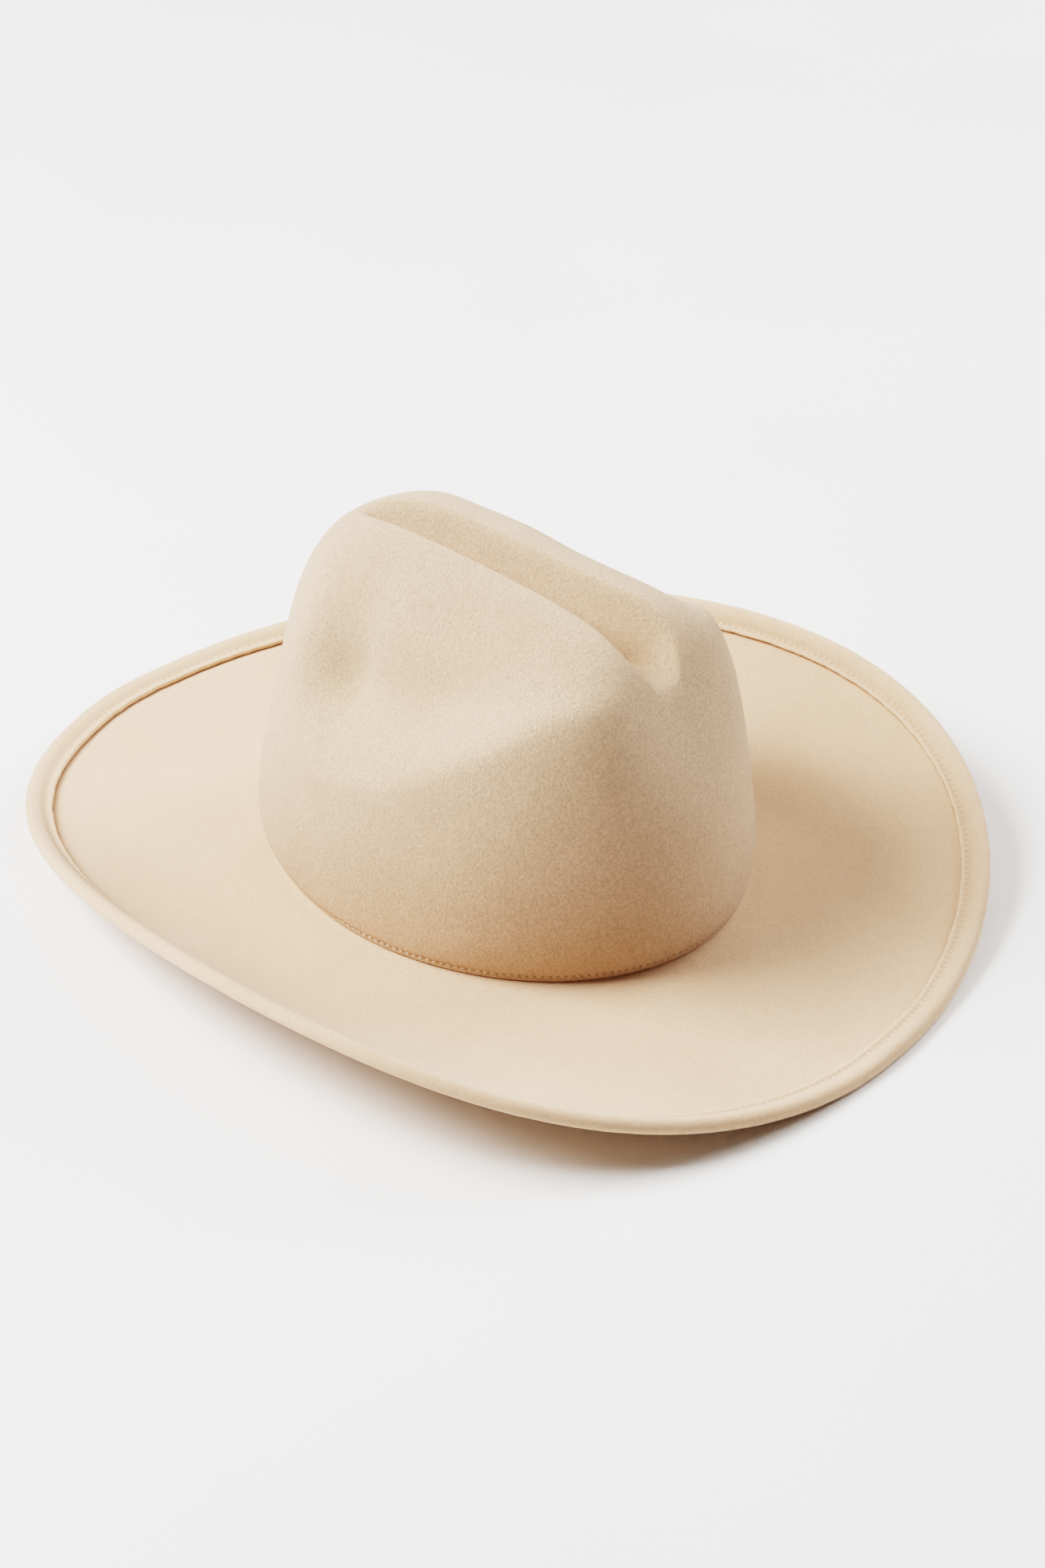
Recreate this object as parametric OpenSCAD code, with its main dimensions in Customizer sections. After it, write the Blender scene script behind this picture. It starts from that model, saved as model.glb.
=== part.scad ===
// Cowboy hat in wool felt: a creased crown sewn to a wired, rolled brim, with a sweatband inside.
// Front is -Y, back is +Y, +Z is up. The origin is on the surface that the hat stands on.
// Every felt surface is worked out from the sizes below, so a change of size carries through.

/* [Head opening] */
// Half the width of the crown at its lower edge
head_half_width = 86.2; // [78:0.1:92]
// Half the length of the crown at its lower edge
head_half_length = 102.8; // [94:0.1:110]
// How far the crown sits behind the middle of the hat's length
head_back = 14.5; // [8:0.5:20]

/* [Crown] */
// Height of the brim's top face at the crown, above the table
break_height = 16; // [12:0.5:22]
// Height of the open crown, before it is creased
crown_top = 161; // [145:1:170]
// Slope of the crown's top, falling towards the back
top_slope = 0.10; // [0:0.01:0.14]
// How far the wall swells out just above the seam
wall_swell = 6; // [2:0.5:8]
// Depth of the crease along the middle of the top
crease_depth = 26; // [14:1:30]
// Depth of the dent in each side
dent_depth = 24; // [12:1:32]
// Thickness of the felt
felt = 2.1; // [1.8:0.1:2.4]

/* [Brim] */
// Half the width across the rolled edge's wire
brim_half_width = 181.2; // [165:0.1:195]
// Half the length along the rolled edge's wire
brim_half_length = 203.3; // [185:0.1:215]
// How far back the sides swell from the middle of the hat's length
brim_swell_back = 34; // [0:1:40]
// Height of the wire at the sides, where the brim curls up
side_height = 44.8; // [30:0.2:60]
// Radius of the rolled edge
bead_radius = 3.25; // [2.9:0.05:3.5]
// Width of the felt folded over onto the brim's top, from the wire inwards
fold_width = 8.6; // [7:0.1:12]
// Diameter of the wire in the rolled edge
wire_d = 1.2; // [0.8:0.1:1.3]

/* [Inside] */
// Height of the sweatband
sweatband_height = 36; // [28:1:42]
// Thickness of the sweatband
sweatband_t = 1; // [0.8:0.1:1.4]

/* [Stitches] */
// Distance from one stitch to the next
stitch_pitch = 3.1; // [3:0.1:4]
// Thickness of the sewing thread
thread_d = 0.55; // [0.4:0.05:0.7]

/* [Hidden] */

gap = 0.15;                 // clearance between pieces that lie against each other
around_crown = 76;          // steps round the crown
up_outside = 26;            // rows up the outside of the crown
up_inside = 22;             // rows up the inside of the crown
around_brim = 92;           // steps round the brim
around_band = 60;           // steps round the pieces inside

felt_colour = [0.89, 0.80, 0.68];
thread_colour = [0.86, 0.74, 0.58];
lining_colour = [0.82, 0.73, 0.60];
tape_colour = [0.75, 0.64, 0.50];

function smooth(v) = let (q = min(1, max(0, v))) q * q * (3 - 2 * q);

// ---- closed skins -------------------------------------------------------------------------------

// Triangles between two neighbouring rings of n points; ring i starts at point i * n.
function band(i, j, n) = [for (k = [0 : n - 1]) let (a = i * n + k, b = i * n + (k + 1) % n,
    c = j * n + (k + 1) % n, d = j * n + k) each [[a, b, c], [a, c, d]]];

// A closed loop of sections: sections is a list of rings of equal length, joined end to end.
module closed_sweep(sections) {
    m = len(sections);
    n = len(sections[0]);
    polyhedron(points = [for (s = sections) each s],
               faces = [for (i = [0 : m - 1]) each band(i, (i + 1) % m, n)], convexity = 12);
}

// An open run of sections with flat ends.
module open_sweep(sections) {
    m = len(sections);
    n = len(sections[0]);
    polyhedron(points = [for (s = sections) each s],
               faces = concat([for (i = [0 : m - 2]) each band(i, i + 1, n)],
                              [[for (k = [n - 1 : -1 : 0]) k]],
                              [[for (k = [0 : n - 1]) (m - 1) * n + k]]), convexity = 12);
}

// ---- head oval ----------------------------------------------------------------------------------

// A point on the head oval, t degrees round from the front, pushed outwards by off.
function head_normal(t) = let (v = [head_half_length * sin(t), -head_half_width * cos(t)]) v / norm(v);
function head_point(t, off, z) = let (n = head_normal(t))
    [head_half_width * sin(t) + off * n[0], head_back - head_half_length * cos(t) + off * n[1], z];

// ---- crown --------------------------------------------------------------------------------------

function mix(a, b, k) = a + (b - a) * k;
// How much wider than the head oval the wall is, at height h above the seam.
function swell(h) = wall_swell * (1 - exp(-h / 12)) * exp(-pow(h / 75, 2));
// How far the top has fallen, y mm behind the crown's middle; the fall starts gently.
fall_start = -42.5;
fall_ease = 12;
function top_drop(y) = top_slope * fall_ease * ln(1 + exp((y - fall_start) / fall_ease));

// The open crown, before it is creased: t goes round from the front, e climbs from 0 to 90.
corner_front = 5.2;         // squareness of the top's edge at the front, back and sides
corner_back = 6.2;
corner_side = 4.2;
taper_front = 0.035;        // share of its half-width that the wall loses on the way up
taper_back = 0.045;
taper_side = 0.10;
corner_taper = 0.055;       // more of the same at the two front corners
corner_swell = 1.05;        // and how much more the wall bulges low down there
function open_crown(t, e) = let (
    side = pow(sin(t), 2),
    ahead = cos(t) > 0,
    corner = mix(ahead ? corner_front : corner_back, corner_side, side),
    turn = ahead ? pow(sin(2 * t), 2) : 0,
    taper = mix(ahead ? taper_front : taper_back, taper_side, side) + corner_taper * turn,
    k = pow(pow(cos(e), corner) + pow(sin(e), corner), 1 / corner),
    out = cos(e) / k,
    up = sin(e) / k,
    s = swell(up * (crown_top - break_height)) * (1 + corner_swell * turn),
    y = -(head_half_length * (1 - taper * up) + s) * out * cos(t))
    [(head_half_width * (1 - taper * up) + s) * out * sin(t), head_back + y,
     mix(break_height, crown_top, up) - top_drop(y) * up];

// The creases: a trough along the middle of the top, ending in a lip at the back, and a scoop
// pressed into each side. They are laid out by the distance y behind the crown's middle and by the
// angle round a line through the crown, from 0 straight out at the side to 90 straight up.
crease_axis = 70;           // height of that line
dent_front = -71;           // where the scoop's steep front wall begins
dent_back = 84.5;           // where the scoop runs out
lip_ease = 2.4;             // softness of the trough's end
back_pinch = 13;            // how far the top of the back wall is pushed in under the lip
pinch_reach = 52;           // how far that reaches to each side
// About v where it is positive and 0 where it isn't, with a rounded corner between.
function soft_over(v) = lip_ease * (v > 20 * lip_ease ? v / lip_ease : ln(1 + exp(v / lip_ease)));
function crease(p) = let (
    y = p[1] - head_back,
    back = max(0, y + 37.5),
    angle = atan2(p[2] - crease_axis, abs(p[0])),
    low = 6 + 0.0040 * back * back,
    ridge = 82 - 4.2e-6 * back * back * back,
    along = smooth((y - dent_front) / 38) * (1 - smooth((y + 2.5) / (dent_back + 2.5))),
    across = smooth((angle - low) / (ridge - low) / 0.45) * smooth((ridge - angle) / (ridge - low) / 0.55),
    dent = dent_depth * along * across,
    depth = crease_depth * smooth((y + 92.5) / 55) * (1 - 0.22 * smooth((y - 52.5) / 35)),
    flat = 1 - 0.27 * smooth((y - 35) / 45),
    cut = depth * smooth((angle - ridge) / (90 - ridge) / flat) * smooth((p[2] - 95) / 25),
    below = crown_top - top_drop(y) - p[2],
    trough = soft_over(cut - below) - soft_over(-below),
    pinch = back_pinch * smooth((y - 45) / 45) * (1 - smooth(abs(p[0]) / pinch_reach))
            * smooth((p[2] - 65) / 65))
    [p[0] - sign(p[0]) * dent * cos(angle), p[1] - pinch, p[2] - dent * sin(angle) - trough];

function crown_point(t, e) = crease(open_crown(t, e));
// Outward direction of the crown, from its slope round and up.
function crown_normal(t, e) = let (
    v = cross(crown_point(t + 0.5, e) - crown_point(t - 0.5, e),
              crown_point(t, min(89.9, e + 0.4)) - crown_point(t, max(0, e - 0.4))))
    v / norm(v);

module crown() {
    n = around_crown;
    outside = [for (i = [0 : up_outside - 1], k = [0 : n - 1]) crown_point(360 * k / n, 90 * i / up_outside)];
    inside = [for (i = [0 : up_inside - 1], k = [0 : n - 1]) let (t = 360 * k / n, e = 90 * i / up_inside)
        i == 0 ? head_point(t, -felt, break_height) : crown_point(t, e) - felt * crown_normal(t, e)];
    peak = crown_point(0, 90);
    first_inside = up_outside * n;
    tip = first_inside + up_inside * n;
    color(felt_colour) polyhedron(
        points = concat(outside, inside, [peak, peak - [0, 0, felt]]),
        faces = concat(
            [for (i = [0 : up_outside - 2]) each band(i + 1, i, n)],
            [for (i = [up_outside : up_outside + up_inside - 2]) each band(i, i + 1, n)],
            band(0, up_outside, n),
            [for (k = [0 : n - 1]) let (a = (up_outside - 1) * n) [a + k, tip, a + (k + 1) % n]],
            [for (k = [0 : n - 1]) let (a = tip - n) [a + (k + 1) % n, tip + 1, a + k]]),
        convexity = 10);
}

// ---- brim ---------------------------------------------------------------------------------------

channel = bead_radius - felt;                   // radius of the space round the wire
edge_rest = bead_radius - 0.2;                  // height of the wire where the edge lies on the table
flat_half = 0.15;                               // sine of the angle over which the ends lie flat
reference_rise = channel;                       // the reference line runs this far above the brim's top

// The wire's line round the rolled edge, t degrees round from the front.
function edge_lift(t) = let (s2 = pow(sin(t), 2), f2 = flat_half * flat_half) max(0, (s2 - f2) / (1 - f2));
function edge_point(t) = [
    sin(t) * (brim_half_width + 7.6 * cos(2 * t) + 2.35 * cos(3 * t)),
    -cos(t) * (brim_half_length + 4.55 * cos(2 * t)) + brim_swell_back * pow(sin(t), 2),
    edge_rest + (side_height - edge_rest) * edge_lift(t)];

// Height of the reference line at the fraction f of the way from the crown to the edge.
function brim_z(t, f) = let (start = break_height - gap + reference_rise, k = edge_lift(t))
    start - (start - edge_rest) * (1 - k) * sin(90 * min(1, f)) + (side_height - start) * k * pow(f, 3.2);
// A point of the brim: u mm outwards from the wire, w mm above the reference line.
function brim_at(t, u, w) = let (
    a = head_point(t, 0, 0), b = edge_point(t),
    d = [b[0] - a[0], b[1] - a[1]], reach = norm(d), dir = d / reach,
    end_slope = atan((brim_z(t, 1) - brim_z(t, 0.99)) / (0.01 * reach)),
    f = u > 0 ? 1 : 1 + u * cos(end_slope) / reach,
    slope = u > 0 ? end_slope : atan((brim_z(t, f) - brim_z(t, f - 0.01)) / (0.01 * reach)),
    over = max(0, u),
    r = f * reach + over * cos(slope) - w * sin(slope),
    z = brim_z(t, f) + over * sin(slope) + w * cos(slope))
    [a[0] + dir[0] * r, a[1] + dir[1] * r, max(0, z)];
// The same, at the fraction f between the crown and the edge.
function brim_over(t, f, w) = let (a = head_point(t, 0, 0), b = edge_point(t),
    reach = norm([b[0] - a[0], b[1] - a[1]]),
    slope = atan((brim_z(t, f + 0.01) - brim_z(t, f)) / (0.01 * reach)),
    dir = [b[0] - a[0], b[1] - a[1]] / reach, r = f * reach - w * sin(slope))
    [a[0] + dir[0] * r, a[1] + dir[1] * r, brim_z(t, f) + w * cos(slope)];

collar_height = 15;
heel_out = 0.9;                                 // the inner face meets the underside in a small slope
heel_down = 1.3;
fold_gap = 0.12;                                // space under the folded felt
sheet = [0.08, 0.25, 0.45, 0.62, 0.76];         // where the sheet's section has a point, crown to edge
function collar_off(h) = swell(h) - felt - gap;  // the collar follows the inside of the crown's wall

// One section of the brim: collar, sheet, roll round the wire, and the fold lying on the top.
function brim_section(t) = let (
    top = -channel, under = -bead_radius, z0 = break_height - gap, lip = felt - channel)
    concat(
        [head_point(t, collar_off(0), z0), head_point(t, collar_off(collar_height / 2), z0 + collar_height / 2),
         head_point(t, collar_off(collar_height), z0 + collar_height),
         head_point(t, collar_off(collar_height) - felt, z0 + collar_height),
         head_point(t, collar_off(collar_height / 2) - felt, z0 + collar_height / 2),
         head_point(t, collar_off(0) - felt, z0 + 1),
         head_point(t, collar_off(0) - felt + heel_out, z0 - heel_down)],
        [for (f = sheet) brim_over(t, f, under)],
        [brim_at(t, -9, under), brim_at(t, -3, under)],
        [for (g = [-90 : 30 : 90]) brim_at(t, bead_radius * cos(g), bead_radius * sin(g))],
        [brim_at(t, -2.6, bead_radius - 0.6), brim_at(t, -5.4, lip + 0.5), brim_at(t, -fold_width, lip + 0.15),
         brim_at(t, -fold_width, top + fold_gap),
         brim_at(t, -4, top + fold_gap)],
        [for (g = [120 : -60 : -60]) brim_at(t, channel * cos(g), channel * sin(g))],
        [brim_at(t, -2, top), brim_at(t, -fold_width, top)],
        [for (i = [len(sheet) - 1 : -1 : 0]) brim_over(t, sheet[i], top)]);

module brim() {
    color(felt_colour) closed_sweep([for (k = [0 : around_brim - 1]) brim_section(360 * k / around_brim)]);
}

// ---- wire in the rolled edge --------------------------------------------------------------------

joiner_length = 16;
joiner_wall = 0.22;
wire_sides = 6;
wire_slot = 0.04;                               // clearance of the wire in its joiner
wire_ends_gap = 1.2;                            // space between the wire's two ends at the back

function ring_about(p, dir, r, n) = let (side = cross(dir, [0, 0, 1]) / norm(cross(dir, [0, 0, 1])),
    up = cross(side, dir))
    [for (k = [0 : n - 1]) p + r * (cos(360 * k / n) * side + sin(360 * k / n) * up)];
function edge_dir(t) = let (v = edge_point(t + 0.2) - edge_point(t - 0.2)) v / norm(v);

module brim_wire() {
    // the run inside the joiner is straight; the rest follows the edge
    back = edge_point(180);
    straight = joiner_length / 2 + 1;
    start = asin(straight / brim_half_width) + 1.5;
    steps = around_brim - 2;
    run = concat(
        [back + [-wire_ends_gap / 2, 0, 0], back + [-straight, 0, 0]],
        [for (k = [0 : steps]) edge_point(180 + start + (360 - 2 * start) * k / steps)],
        [back + [straight, 0, 0], back + [wire_ends_gap / 2, 0, 0]]);
    n = len(run);
    color("silver") open_sweep([for (k = [0 : n - 1]) let (
        v = run[min(n - 1, k + 1)] - run[max(0, k - 1)]) ring_about(run[k], v / norm(v), wire_d / 2, wire_sides)]);
}

module wire_joiner() {
    color("gainsboro") translate(edge_point(180)) rotate([0, 90, 0]) difference() {
        cylinder(h = joiner_length, r = wire_d / 2 + wire_slot + joiner_wall, center = true, $fn = 32);
        cylinder(h = joiner_length + 1, r = wire_d / 2 + wire_slot, center = true, $fn = 32);
    }
}

// ---- stitching ----------------------------------------------------------------------------------

// Stitches lying along a closed line of points, one for each pair given: [start, end, up].
module stitch_row(pairs) {
    r = thread_d / 2;
    polyhedron(
        points = [for (s = pairs) let (m = (s[0] + s[1]) / 2 + s[2] * r * 0.4, d = s[1] - s[0],
            side = cross(d, s[2]) / norm(cross(d, s[2])))
            each [s[0], m + side * r, m + s[2] * r, m - side * r, m - s[2] * r * 1.2, s[1]]],
        faces = [for (i = [0 : len(pairs) - 1], k = [1 : 4]) let (a = 6 * i, b = k % 4 + 1)
            each [[a, a + b, a + k], [a + 5, a + k, a + b]]], convexity = 4);
}

// Angles that cut the closed line of function values pts into stitches of even length.
function running(pts) = [for (i = 0, s = 0; i < len(pts); s = s + norm(pts[(i + 1) % len(pts)] - pts[i]), i = i + 1) s];
function even_points(pts, pitch) = let (
    dist = running(pts), n = len(pts),
    total = dist[n - 1] + norm(pts[0] - pts[n - 1]), count = round(total / pitch))
    [for (c = [0 : count - 1], i = 0) let (d = c * total / count, j = span_of(dist, d, 0, n - 1),
        last = j == n - 1, step = (last ? total : dist[j + 1]) - dist[j])
        mix(pts[j], pts[(j + 1) % n], (d - dist[j]) / step)];
function span_of(dist, d, lo, hi) = hi <= lo ? lo :
    let (m = ceil((lo + hi) / 2)) dist[m] <= d ? span_of(dist, d, m, hi) : span_of(dist, d, lo, m - 1);

fine = 180;                                     // steps used to measure along a seam
stitch_fill = 0.74;                             // share of the pitch that a stitch covers

function stitches(line, up) = [for (k = [0 : len(line) - 1]) let (a = line[k], b = line[(k + 1) % len(line)],
    u = up[k]) [mix(a, b, (1 - stitch_fill) / 2), mix(a, b, (1 + stitch_fill) / 2), u]];
function up_from(line, dirs) = [for (k = [0 : len(line) - 1]) let (
    v = line[(k + 1) % len(line)] - line[k], w = cross(cross(v, dirs), v)) w / norm(w)];

fold_stitch = 6;                                // distance of the edge's seam from the wire
module brim_stitching() {
    lift = felt - channel + 0.46 + thread_d * 0.4;
    line = even_points([for (k = [0 : fine - 1]) brim_at(360 * k / fine, -fold_stitch, lift)], stitch_pitch);
    color(thread_colour) stitch_row(stitches(line, up_from(line, [0, 0, 1])));
}

seam_height = 3;                                // height of the crown's seam above its lower edge
module crown_stitching() {
    z = break_height + seam_height;
    off = swell(seam_height) + thread_d * 0.62;
    line = even_points([for (k = [0 : fine - 1]) head_point(360 * k / fine, off, z)], stitch_pitch);
    count = len(line);
    outwards = [for (k = [0 : count - 1]) let (v = line[(k + 1) % count] - line[k], w = [v[1], -v[0], 0]) w / norm(w)];
    color(thread_colour) stitch_row(stitches(line, outwards));
}

// ---- pieces inside ------------------------------------------------------------------------------

band_bottom = break_height - 1.6;
tape_t = 0.3;
tape_off = collar_off(0) - felt - gap / 2 - tape_t / 2;      // middle of the reed tape's tab
band_out = tape_off - tape_t / 2 - gap / 2;                  // outer face of the sweatband
band_in = band_out - sweatband_t;
lean = 1.2;                                                  // the band leans in at its top

module ring_sweep(section, n) {
    closed_sweep([for (k = [0 : n - 1]) [for (q = section) head_point(360 * k / n, q[0], q[1])]]);
}

module sweatband() {
    h = band_bottom + sweatband_height;
    color(lining_colour) ring_sweep([
        [band_out, band_bottom], [band_out, band_bottom + 14], [band_out - lean, h - 1.2],
        [band_out - lean - sweatband_t * 0.3, h], [band_in - lean + sweatband_t * 0.2, h],
        [band_in - lean, h - 1.2], [band_in, band_bottom + 14], [band_in, band_bottom]], around_band);
}

module sweatband_stitching() {
    z = break_height + seam_height;
    off = band_in - thread_d * 0.62;
    line = even_points([for (k = [0 : fine - 1]) head_point(360 * k / fine, off, z)], stitch_pitch * 1.3);
    count = len(line);
    inwards = [for (k = [0 : count - 1]) let (v = line[(k + 1) % count] - line[k], w = [-v[1], v[0], 0]) w / norm(w)];
    color(thread_colour) stitch_row(stitches(line, inwards));
}

reed_r = 0.85;
reed_loop = 1.0;                                             // inner radius of the tape's loop
reed_off = band_out - 0.5;
reed_z = band_bottom - reed_loop - tape_t - 0.1;

module reed() {
    color([0.9, 0.9, 0.86]) ring_sweep(
        [for (k = [0 : 5]) [reed_off + reed_r * cos(60 * k), reed_z + reed_r * sin(60 * k)]], around_band);
}

module reed_tape() {
    wrap = reed_loop + tape_t;
    tab_top = band_bottom + 8;
    color(tape_colour) ring_sweep(concat(
        [[tape_off + tape_t / 2, band_bottom], [tape_off + tape_t / 2, tab_top],
         [tape_off - tape_t / 2, tab_top], [tape_off - tape_t / 2, band_bottom]],
        [for (g = [30 : -63 : -285]) [reed_off + reed_loop * cos(g), reed_z + reed_loop * sin(g)]],
        [for (g = [-285 : 63 : 30]) [reed_off + wrap * cos(g), reed_z + wrap * sin(g)]]), around_band - 16);
}

// A patch that lies against the inside of the sweatband, from height a to b, w wide, t thick,
// centred at the angle c round from the front.
module patch(c, w, a, b, t, clear) {
    half = w / 2 / head_half_length * 180 / PI;
    steps = 6;
    open_sweep([for (k = [0 : steps]) let (q = c - half + 2 * half * k / steps)
        [head_point(q, band_in - clear, a), head_point(q, band_in - clear, mix(a, b, 0.33)),
         head_point(q, band_in - clear - lean * 0.9, b), head_point(q, band_in - clear - lean * 0.9 - t, b),
         head_point(q, band_in - clear - t, mix(a, b, 0.33)), head_point(q, band_in - clear - t, a)]]);
}

// Covers the joint in the sweatband at the back.
module seam_tape() {
    color(tape_colour) patch(180, 11, band_bottom + 6, band_bottom + sweatband_height - 1, 0.4, gap);
}

// A flat ribbon bow sewn at the top of the seam tape: two loops, two tails and a knot.
ribbon_w = 5;
ribbon_t = 0.35;
module bow() {
    centre = head_point(180, band_in - lean - 0.4 - 3.2 * gap - 1.2, band_bottom + sweatband_height - 9);
    loop = [[1.2, 0.2], [6, 2.4], [11, 3.1], [13.4, 1.2], [12.2, -1.6], [7, -1.8], [1.2, -0.9]];
    tail = [[0.8, -1.2], [4.6, -6], [8, -10.5]];
    color(lining_colour) translate(centre) {
        for (side = [-1, 1]) {
            ribbon_run([for (q = loop) [side * q[0], q[1]]]);
            ribbon_run([for (q = tail) [side * q[0], q[1]]]);
        }
        rotate([90, 0, 0]) cylinder(h = 2.2, r = 1.9, center = true, $fn = 24);
    }
}
// A narrow ribbon standing on edge against the band, along the points given in the band's plane.
module ribbon_run(pts) {
    n = len(pts);
    open_sweep([for (k = [0 : n - 1]) let (
        v = pts[min(n - 1, k + 1)] - pts[max(0, k - 1)], s = [-v[1], v[0]] / norm(v) * ribbon_t, p = pts[k])
        [[p[0] - s[0], -0.9, p[1] - s[1]], [p[0] + s[0], -0.9, p[1] + s[1]],
         [p[0] + s[0], 0.9, p[1] + s[1]], [p[0] - s[0], 0.9, p[1] - s[1]]]]);
}

module size_label() {
    color("white") patch(150, 14, band_bottom + 10, band_bottom + 30, 0.3, gap);
}

module care_label() {
    color("ivory") patch(122, 22, band_bottom + 8, band_bottom + sweatband_height - 2, 0.3, gap);
}

crown();
brim();
brim_wire();
wire_joiner();
brim_stitching();
crown_stitching();
sweatband();
sweatband_stitching();
reed();
reed_tape();
seam_tape();
bow();
size_label();
care_label();
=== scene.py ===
"""Looks of the wool felt cowboy hat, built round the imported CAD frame. Lengths are in metres."""
import math

import bpy
import numpy as np
from mathutils import Matrix, Vector


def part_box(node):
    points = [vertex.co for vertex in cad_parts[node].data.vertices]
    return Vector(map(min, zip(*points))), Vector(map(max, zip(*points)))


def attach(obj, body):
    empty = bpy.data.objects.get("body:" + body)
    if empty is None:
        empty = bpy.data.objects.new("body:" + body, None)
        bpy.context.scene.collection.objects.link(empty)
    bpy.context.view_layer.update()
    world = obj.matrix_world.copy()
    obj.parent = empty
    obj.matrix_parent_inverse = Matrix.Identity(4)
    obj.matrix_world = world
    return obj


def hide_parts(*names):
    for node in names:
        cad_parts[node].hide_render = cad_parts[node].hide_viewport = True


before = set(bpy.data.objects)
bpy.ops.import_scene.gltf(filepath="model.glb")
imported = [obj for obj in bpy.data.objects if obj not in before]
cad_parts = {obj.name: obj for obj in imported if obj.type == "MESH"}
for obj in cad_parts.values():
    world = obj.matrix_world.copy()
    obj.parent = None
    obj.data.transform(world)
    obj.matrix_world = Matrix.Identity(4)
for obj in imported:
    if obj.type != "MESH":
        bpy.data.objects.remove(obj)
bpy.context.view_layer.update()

scene = bpy.context.scene
MM = 0.001

# ---- driving sizes, the same as in part.scad, in millimetres ------------------------------------

head_half_width = 86.2
head_half_length = 102.8
crown_top = 161
top_slope = 0.10
wall_swell = 6
crease_depth = 26
dent_depth = 24
felt = 2.1                      # thickness of the felt
brim_half_width = 181.2         # to the wire in the rolled edge
brim_half_length = 203.3
brim_swell_back = 34
side_height = 44.8              # height of the wire at the sides, where the brim curls up
bead_radius = 3.25
sweatband_height = 36
sweatband_t = 1.0
thread_d = 0.55
gap = 0.15                      # clearance between pieces that lie against each other

# ---- places taken from the frame ----------------------------------------------------------------


def cad_place(node):
    """The lowest and highest corner of a CAD node, in millimetres."""
    return np.array(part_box(node)) / MM


band_bottom, band_top = cad_place("sweatband")[:, 2]
seam_z = np.array(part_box("crown_stitching")).mean(axis=0)[2] / MM
break_height = cad_place("crown")[0][2]
head_back = cad_place("sweatband")[:, 1].sum() / 2          # the crown sits this far behind the middle

# ---- small helpers ------------------------------------------------------------------------------


def smooth(v):
    """0 below 0, 1 above 1 and an even rise between."""
    q = np.clip(v, 0, 1)
    return q * q * (3 - 2 * q)


def mix(a, b, k):
    return a + (b - a) * k


def rows(*parts):
    """One list of samples out of several, without repeats."""
    return np.unique(np.concatenate([np.atleast_1d(p) for p in parts]))


def unit(v):
    """The same direction with length 1."""
    return v / np.maximum(np.linalg.norm(v, axis=-1, keepdims=True), 1e-12)


def waviness(x, y, z, size, seed):
    """A slow, smooth unevenness from -1 to 1, as hand-shaped felt has; size is its wavelength in mm."""
    rng = np.random.default_rng(seed)
    total = 0
    for _ in range(7):
        d = unit(rng.normal(size=3))
        k = 2 * math.pi / (size * rng.uniform(0.7, 1.5))
        total = total + np.sin(k * (d[0] * x + d[1] * y + d[2] * z) + rng.uniform(0, 6.28))
    return total / 3.2                  # seven waves seldom add up to more


def in_scene(name, data):
    """A new object in the scene."""
    thing = bpy.data.objects.new(name, data)
    scene.collection.objects.link(thing)
    return thing


def new_mesh(name, points_mm, faces, material, painted_shade_and_raw_edge=None):
    """A piece from points in millimetres, with one material.

    The optional values per point darken it with painted shade, for needle holes, grooves and felt under a
    fold, or below zero bleach it as the felt's cut edge is.
    """
    mesh = bpy.data.meshes.new(name)
    mesh.from_pydata((np.asarray(points_mm) * MM).tolist(), [], faces)
    mesh.validate()
    mesh.polygons.foreach_set("use_smooth", [True] * len(mesh.polygons))
    mesh.materials.append(material)
    if painted_shade_and_raw_edge is not None:
        layer = mesh.attributes.new("painted_shade_and_raw_edge", "FLOAT", "POINT")
        layer.data.foreach_set("value", np.asarray(painted_shade_and_raw_edge, np.float32).ravel())
    mesh.update()
    return in_scene(name, mesh)


def ring_faces(i, j, n, offset=0):
    """Quads between ring i and ring j of n points each."""
    k = np.arange(n)
    after = (k + 1) % n
    a, b = offset + i * n, offset + j * n
    return np.stack([a + k, a + after, b + after, b + k], 1).tolist()


def swept_loop(name, sections, material, painted_shade_and_raw_edge=None):
    """A closed tube: sections is an array (around, points of one section, 3)."""
    m, n = sections.shape[:2]
    faces = []
    for i in range(m):
        faces += ring_faces(i, (i + 1) % m, n)
    return new_mesh(name, sections.reshape(-1, 3), faces, material, painted_shade_and_raw_edge=painted_shade_and_raw_edge)


def swept_run(name, sections, material):
    """An open tube with flat ends."""
    m, n = sections.shape[:2]
    faces = []
    for i in range(m - 1):
        faces += ring_faces(i, i + 1, n)
    faces.append(list(range(n - 1, -1, -1)))
    faces.append([(m - 1) * n + k for k in range(n)])
    return new_mesh(name, sections.reshape(-1, 3), faces, material)


def joined(name, pieces):
    """Several pieces of one material as one mesh."""
    with bpy.context.temp_override(active_object=pieces[0], selected_editable_objects=pieces):
        bpy.ops.object.join()
    pieces[0].name = name
    return pieces[0]


def turn_angles(count):
    """Angles for count steps once round."""
    return np.arange(count) * 2 * math.pi / count


def distances(points):
    """How far along a line of points each one lies."""
    return np.concatenate([[0], np.cumsum(np.linalg.norm(np.diff(points, axis=0), axis=1))])


def even_angles(line, count):
    """Angles that cut a closed line into count equal lengths; line(t) gives its points."""
    t = np.linspace(0, 2 * math.pi, 2881)       # fine enough to measure along it
    run = distances(line(t))
    return np.interp(np.arange(count) * run[-1] / count, run, t)


def on_body(piece, slot, *nodes):
    """Every piece rides on the hat's one body and stands in for the CAD nodes named."""
    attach(piece, "root")
    if nodes:
        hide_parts(*nodes)
    return piece


# ---- shape of the head oval and the crown: the same rules as part.scad --------------------------

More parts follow.
